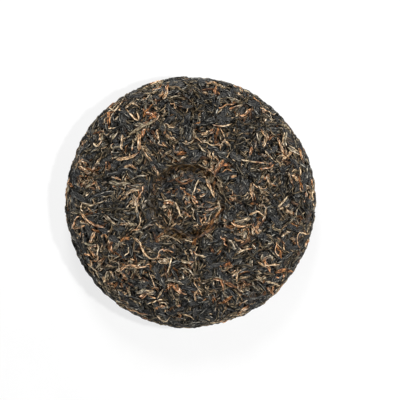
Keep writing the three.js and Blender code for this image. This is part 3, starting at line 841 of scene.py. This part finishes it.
class Nodes:
    """Short calls for a material's nodes."""

    def __init__(self, name):
        self.material = bpy.data.materials.new(name)
        self.material.use_nodes = True
        self.tree = self.material.node_tree
        self.shader = self.tree.nodes["Principled BSDF"]

    def add(self, kind, **settings):
        node = self.tree.nodes.new(kind)
        for key, value in settings.items():
            setattr(node, key, value)
        return node

    def join(self, output, socket):
        self.tree.links.new(output, socket)

    def attribute(self, name, output):
        return self.add("ShaderNodeAttribute", attribute_name=name).outputs[output]

    def noise(self, vector, scale, detail=3.0):
        """Noise with its own scale along each axis."""
        scaled = self.add("ShaderNodeVectorMath", operation="MULTIPLY")
        self.join(vector, scaled.inputs[0])
        scaled.inputs[1].default_value = scale
        texture = self.add("ShaderNodeTexNoise")
        texture.inputs["Scale"].default_value = 1
        texture.inputs["Detail"].default_value = detail
        self.join(scaled.outputs[0], texture.inputs["Vector"])
        return texture.outputs["Fac"]

    def ramp(self, factor, stops):
        ramp = self.add("ShaderNodeValToRGB")
        elements = ramp.color_ramp.elements
        while len(elements) < len(stops):
            elements.new(0.5)
        for element, (position, colour) in zip(elements, stops):
            element.position = position
            element.color = (*colour, 1)
        self.join(factor, ramp.inputs["Fac"])
        return ramp.outputs["Color"]

    def range(self, value, low, high, to_low, to_high):
        node = self.add("ShaderNodeMapRange")
        for socket, number in zip(node.inputs[1:5], (low, high, to_low, to_high)):
            socket.default_value = number
        self.join(value, node.inputs[0])
        return node.outputs[0]

    def mix(self, factor, a, b, blend="MIX"):
        node = self.add("ShaderNodeMix", data_type="RGBA", blend_type=blend)
        for socket, value in ((node.inputs[0], factor), (node.inputs[6], a), (node.inputs[7], b)):
            if isinstance(value, bpy.types.NodeSocket):
                self.join(value, socket)
            else:
                socket.default_value = (*value, 1) if isinstance(value, tuple) else value
        return node.outputs[2]

    def arithmetic(self, operation, a, b):
        node = self.add("ShaderNodeMath", operation=operation)
        self.join(a, node.inputs[0])
        self.join(b, node.inputs[1])
        return node.outputs[0]

    def sum(self, a, b):
        return self.arithmetic("ADD", a, b)

    def product(self, a, b):
        return self.arithmetic("MULTIPLY", a, b)

    def bump(self, height, strength, distance):
        node = self.add("ShaderNodeBump")
        node.inputs["Strength"].default_value = strength
        node.inputs["Distance"].default_value = distance * MM
        self.join(height, node.inputs["Height"])
        self.join(node.outputs[0], self.shader.inputs["Normal"])


def srgb(red, green, blue):
    """A colour given as a screen's 0 to 255, by the standard's own curve."""

    def linear(value):
        share = value / 255
        return ((share + 0.055) / 1.055) ** 2.4 if value > 10 else share / 12.92

    return tuple(linear(value) for value in (red, green, blue))


# The leaves' finish. Noise is scaled along a leaf, across it and from leaf to leaf; edges say between which
# values a mark fades in
END_NOISE = (0.12, 0.3, 1.0)
STREAK_NOISE = (0.28, 1.2, 1.0)
HIGHLIGHT_PATCH_NOISE = (0.2, 0.6, 1.0)
CRACK_SHADE_NOISE = (0.36, 1.4, 1.0)
BUMP_NOISE = (0.3, 1.3, 1.0)
NOISE_SPAN = (0.3, 0.7)  # most of the noise's values lie in it
END_WANDER = 0.35  # share of the length
END_EDGES = (0.45, 0.85)  # shares of the length
END_SOFT = 0.05
STREAK_SOFT = 0.022
HIGHLIGHT_PATCH_EDGES = (0.44, 0.58)
# Painted highlight: the crests are paler above these leaf heights, in patches
HIGHLIGHT_EDGES = (0.82, 1.08)  # leaf heights
# Painted shade: leaves are darker where their section lies low, in folds and at their edges, and in cracks
FOLD_SHADE_EDGES = (0.16, 0.9)  # leaf heights
CRACK_SHADE_EDGES = (0.458, 0.488)
CREASE_SHADE = (0.12, 0.12, 0.12)
WHITE = (1.0, 1.0, 1.0)


def leaf_material(name, tones, ends, streak, crest, rough, crease_shade=CREASE_SHADE, sheen=0.0, specular=0.36):
    """A leaf's finish: its tone, which may change at one end, fine streaks, painted highlight and shade."""
    m = Nodes(name)
    grain = m.attribute("grain", "Vector")
    stops = [(i / (len(tones) - 1), srgb(*tone)) for i, tone in enumerate(tones)]
    base = m.ramp(m.attribute("tone", "Fac"), stops)

    # Some leaves change colour towards one end
    end_colour, end_share = ends
    tint = m.attribute("tint", "Fac")
    part = m.attribute("part", "Fac")
    wandering = m.range(m.noise(grain, END_NOISE, 2.0), *NOISE_SPAN, -END_WANDER, END_WANDER)
    towards = m.range(m.sum(part, wandering), *END_EDGES, 0, 1)
    which = m.range(tint, 1 - end_share - END_SOFT, 1 - end_share + END_SOFT, 0, 1)
    colour = m.mix(m.product(towards, which), base, srgb(*end_colour))

    # Streaks follow the folds of the rolled leaf, and crests get a painted highlight in patches
    streak_colour, streak_share, streak_from = streak
    fine = m.noise(grain, STREAK_NOISE, 4.0)
    streaks = m.range(fine, streak_from, streak_from + STREAK_SOFT, 0, streak_share)
    colour = m.mix(streaks, colour, srgb(*streak_colour))
    highlight_colour, highlight_share = crest
    highlight_patch = m.range(m.noise(grain, HIGHLIGHT_PATCH_NOISE, 3.0), *HIGHLIGHT_PATCH_EDGES, 0, 1)
    ridge = m.attribute("ridge", "Fac")
    high = m.range(ridge, *HIGHLIGHT_EDGES, 0, highlight_share)
    colour = m.mix(m.product(high, highlight_patch), colour, srgb(*highlight_colour))

    # The groove gets its olive tint and painted shade, and folds and cracks get painted shade
    colour = m.mix(m.attribute("tint_and_shade", "Fac"), colour, srgb(*GROOVE_TINT_AND_SHADE))
    fold_shade = m.range(ridge, *FOLD_SHADE_EDGES, 0, 1)
    crack_shade = m.range(m.noise(grain, CRACK_SHADE_NOISE, 3.0), *CRACK_SHADE_EDGES, 0, 1)
    for shade_share in (fold_shade, crack_shade):
        colour = m.mix(1.0, colour, m.mix(shade_share, crease_shade, WHITE), "MULTIPLY")
    m.join(colour, m.shader.inputs["Base Color"])
    m.join(m.range(fine, *NOISE_SPAN, *rough), m.shader.inputs["Roughness"])
    m.shader.inputs["Specular IOR Level"].default_value = specular
    m.shader.inputs["Sheen Weight"].default_value = sheen
    m.shader.inputs["Sheen Roughness"].default_value = 0.4
    m.bump(m.noise(grain, BUMP_NOISE, 5.0), strength=1.0, distance=1.6)
    return m.material


def core_material():
    """Dark, crumbly packed leaf."""
    m = Nodes("packed_leaf")
    coordinates = m.add("ShaderNodeTexCoord").outputs["Object"]
    grit = m.noise(coordinates, (CORE_GRIT,) * 3, 4.0)
    m.join(m.ramp(grit, [(0.35, srgb(10, 9, 8)), (0.7, srgb(34, 29, 24))]), m.shader.inputs["Base Color"])
    m.shader.inputs["Roughness"].default_value = 0.9
    m.bump(grit, strength=0.8, distance=0.6)
    return m.material


# Screen colours. Each kind's run over the tones that its leaves can have
# The groove's colour: an olive tint, darkened as painted shade of the deep groove
GROOVE_TINT_AND_SHADE = (74, 50, 3)
CHARCOAL = ((15, 18, 21), (22, 25, 28), (34, 36, 35), (53, 53, 49))
UMBER = ((23, 20, 15), (35, 31, 24), (52, 46, 35), (82, 72, 53))
LONG = ((18, 19, 19), (31, 31, 28), (52, 48, 41), (93, 84, 67))
GOLD = ((120, 119, 107), (162, 151, 121), (207, 181, 144), (236, 197, 150), (215, 137, 74))
THREAD = ((84, 80, 68), (132, 121, 96), (181, 162, 131), (224, 199, 162), (211, 152, 100))
BROWN = ((58, 43, 28), (100, 68, 40), (149, 101, 58), (207, 146, 88))
BROKEN = ((40, 38, 33), (86, 78, 60), (148, 127, 94), (212, 180, 140))
# crest gives the colour and share of the painted highlight on each leaf's crests; the fold colour is painted
# shade in folds and cracks
MATERIALS = {
    "charcoal_rolls": leaf_material(
        "charcoal_leaf", CHARCOAL, ends=((92, 82, 66), 0.15), streak=((108, 105, 97), 0.85, 0.555),
        crest=((186, 180, 166), 0.95), rough=(0.32, 0.55),
    ),
    "umber_rolls": leaf_material(
        "umber_leaf", UMBER, ends=((154, 125, 91), 0.3), streak=((134, 119, 92), 0.85, 0.555),
        crest=((204, 176, 138), 0.95), rough=(0.38, 0.62),
    ),
    "long_rolls": leaf_material(
        "long_leaf", LONG, ends=((158, 127, 93), 0.25), streak=((134, 123, 102), 0.85, 0.555),
        crest=((206, 184, 148), 0.95), rough=(0.34, 0.58),
    ),
    "flat_leaves": leaf_material(
        "flat_leaf", CHARCOAL, ends=((104, 78, 54), 0.25), streak=((100, 96, 88), 0.85, 0.55),
        crest=((160, 152, 138), 0.85), rough=(0.34, 0.58),
    ),
    "golden_buds": leaf_material(
        "golden_bud", GOLD, ends=((176, 118, 70), 0.35), streak=((80, 62, 44), 0.9, 0.54),
        crest=((242, 224, 198), 0.85), rough=(0.5, 0.75), crease_shade=(0.22, 0.16, 0.09), sheen=0.2,
        specular=0.3,
    ),
    "tan_threads": leaf_material(
        "tan_stem", THREAD, ends=((170, 116, 72), 0.35), streak=((76, 60, 44), 0.9, 0.56),
        crest=((236, 218, 192), 0.8), rough=(0.45, 0.7), crease_shade=(0.3, 0.23, 0.15), sheen=0.1,
        specular=0.35,
    ),
    "brown_leaves": leaf_material(
        "brown_leaf", BROWN, ends=((44, 36, 30), 0.5), streak=((46, 32, 22), 0.95, 0.52),
        crest=((226, 180, 134), 0.85), rough=(0.42, 0.66), crease_shade=(0.25, 0.18, 0.11),
    ),
    "fragments": leaf_material(
        "broken_leaf", BROKEN, ends=((60, 46, 34), 0.4), streak=((66, 52, 38), 0.7, 0.54),
        crest=((214, 190, 156), 0.75), rough=(0.45, 0.7), crease_shade=(0.25, 0.18, 0.12),
    ),
}

# The front is laid first, and the back's leaves fold over it at the rim
front = Chart("front")
front_leaves = lay_leaves(front, FRONT_CENTRES_TO)
back = Chart("back")
back.height = back.height_from(front)
back_leaves = lay_leaves(back, BACK_CENTRES_TO, landmark_leaves())
over_front = front.height_from(back)
front.top[over_front > front.height + OVERLAP_HIDES] = -1
front.height = np.maximum(front.height, over_front)

laid = []
for chart, leaves in ((front, front_leaves), (back, back_leaves)):
    seen = np.bincount(chart.top[chart.top >= 0], minlength=len(leaves["kind"]))
    laid.append((chart, leaves, chart.press_level(), seen >= LEAST_SHOWN))

core_piece(core_material())
for number, kind in enumerate(KINDS):
    leaf_piece(number, laid, MATERIALS[kind.name])

# Floor, light and camera, in metres
FLOOR_REACH = 3
FLOOR_TONES = (0.122, 0.132)
FLOOR_GLOW = 0.765  # keeps the shadows on the floor pale
FLOOR_GRAIN = 30  # to the metre
LIGHTS = (  # name, place, diameter, watts
    ("key", (0.86, 0.0, 1.05), 0.15, 23.2),
    ("top", (-0.1, 1.15, 0.7), 0.45, 24),
    ("fill", (-0.7, -0.8, 0.8), 0.8, 5),
)
SURROUND_LIGHT = 0.1
PICTURE = 400  # pixels
OUTLINE_CENTRE = (189.9, 202.05)  # pixels, fitted so that the cake lies where it does in the photo
OUTLINE_RADIUS = 125.2  # pixels
LEAF_HOLLOW = 0.95  # millimetres that the outline lies inside the skin, as leaves leave gaps
PIXEL = (RIM_RADIUS - LEAF_HOLLOW) * MM / OUTLINE_RADIUS  # real size of a pixel at the rim
CAMERA_DISTANCE = 1.3
CAMERA_LEAN = math.radians(2.5)  # towards the right
CAMERA_SEES_TO = 20
SENSOR_WIDTH = 36  # millimetres


def floor():
    m = Nodes("white_paper")
    coordinates = m.add("ShaderNodeTexCoord").outputs["Object"]
    m.join(
        m.ramp(
            m.noise(coordinates, (FLOOR_GRAIN,) * 3),
            [(at, (tone,) * 3) for at, tone in zip(NOISE_SPAN, FLOOR_TONES)],
        ),
        m.shader.inputs["Base Color"],
    )
    m.shader.inputs["Roughness"].default_value = 0.9
    m.shader.inputs["Emission Color"].default_value = (1, 1, 1, 1)
    m.shader.inputs["Emission Strength"].default_value = FLOOR_GLOW
    mesh = bpy.data.meshes.new("floor")
    signs = ((-1, -1), (1, -1), (1, 1), (-1, 1))
    mesh.from_pydata([(x * FLOOR_REACH, y * FLOOR_REACH, 0) for x, y in signs], [], [(0, 1, 2, 3)])
    mesh.materials.append(m.material)
    add_object("floor", mesh)


def area_light(name, place_at, size, watts):
    light = bpy.data.lights.new(name, "AREA")
    light.shape = "DISK"
    light.size = size
    light.energy = watts
    lamp = add_object(name, light)
    lamp.location = place_at
    aim = Vector((0, 0, 0)) - lamp.location
    lamp.rotation_euler = aim.to_track_quat("-Z", "Y").to_euler()


def world(strength):
    bpy.context.scene.world = bpy.data.worlds.new("studio")
    bpy.context.scene.world.use_nodes = True
    tree = bpy.context.scene.world.node_tree
    background = tree.nodes["Background"]
    background.inputs["Color"].default_value = (1, 1, 1, 1)

    # What lights the cake stays weak, and what shows behind it is as white as the floor
    light_path = tree.nodes.new("ShaderNodeLightPath")
    seen = tree.nodes.new("ShaderNodeMapRange")
    seen.inputs["To Min"].default_value = strength
    seen.inputs["To Max"].default_value = 1
    tree.links.new(light_path.outputs["Is Camera Ray"], seen.inputs["Value"])
    tree.links.new(seen.outputs["Result"], background.inputs["Strength"])


def camera():
    view = bpy.data.cameras.new("camera")
    view.sensor_width = SENSOR_WIDTH
    middle = np.array((PICTURE / 2 - OUTLINE_CENTRE[0], OUTLINE_CENTRE[1] - PICTURE / 2)) * PIXEL
    target = Vector((middle[0], middle[1], RIM_HEIGHT * MM))
    back_off = Vector((math.sin(CAMERA_LEAN), 0, math.cos(CAMERA_LEAN))) * CAMERA_DISTANCE
    view.lens = view.sensor_width * CAMERA_DISTANCE / (PICTURE * PIXEL)
    view.clip_end = CAMERA_SEES_TO
    eye = add_object("camera", view)
    eye.location = target + back_off
    eye.rotation_euler = (0, CAMERA_LEAN, 0)
    bpy.context.scene.camera = eye


floor()
for light in LIGHTS:
    area_light(*light)
world(SURROUND_LIGHT)
camera()
bpy.context.scene.view_settings.view_transform = "Standard"
